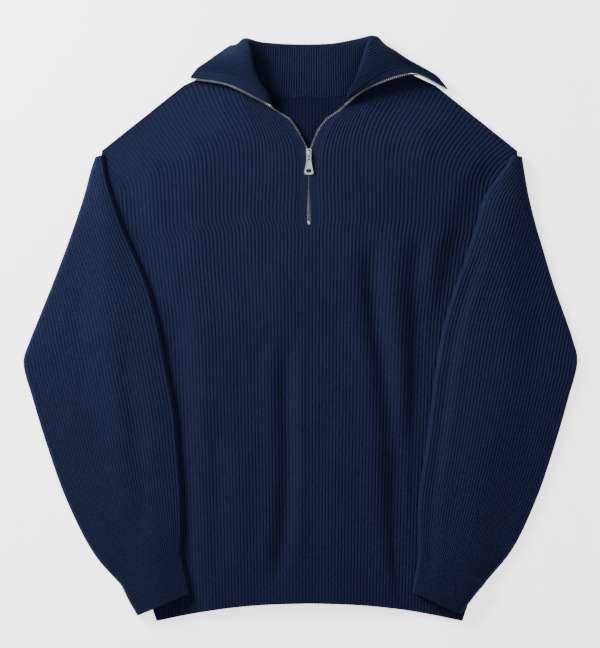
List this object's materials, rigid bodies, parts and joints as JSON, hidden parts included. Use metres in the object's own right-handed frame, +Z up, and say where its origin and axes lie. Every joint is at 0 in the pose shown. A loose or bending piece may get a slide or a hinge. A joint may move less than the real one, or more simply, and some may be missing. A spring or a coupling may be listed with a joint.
{
  "type": "quarter zip sweater laid flat",
  "caption": "Navy rib-knit quarter zip sweater laid flat on its back, sleeves swung down over the body, collar open and folded outwards, metal zip open to mid chest.",
  "frame": {"origin": "on the surface that the sweater lies on, under the middle of its outline", "axes": "+Z up off the surface, +Y from the hem towards the collar, +X to the right as seen from above"},
  "size_m": [0.705, 0.7435, 0.0328],
  "materials": {
    "body_knit": "matt rib knit",
    "sleeve_knit": "matt rib knit",
    "collar_knit": "matt rib knit, brushed inside",
    "zip_metal": "satin"
  },
  "bodies": {
    "sweater": {"back_panel": "body_knit", "front_panel": "body_knit", "sleeve_left": "sleeve_knit", "sleeve_right": "sleeve_knit", "cuff_left": "sleeve_knit", "cuff_right": "sleeve_knit", "collar": "collar_knit", "zip_left": "zip_metal", "zip_right": "zip_metal", "zip_slider": "zip_metal"},
    "pull": {"zip_pull": "zip_metal"}
  },
  "joints": [
    {"name": "pull_swing", "type": "hinge", "parent": "sweater", "child": "pull", "pos_m": [0.0105, 0.22085, 0.017], "axis": [-1, 0, 0], "range_deg": [0, 140]}
  ]
}
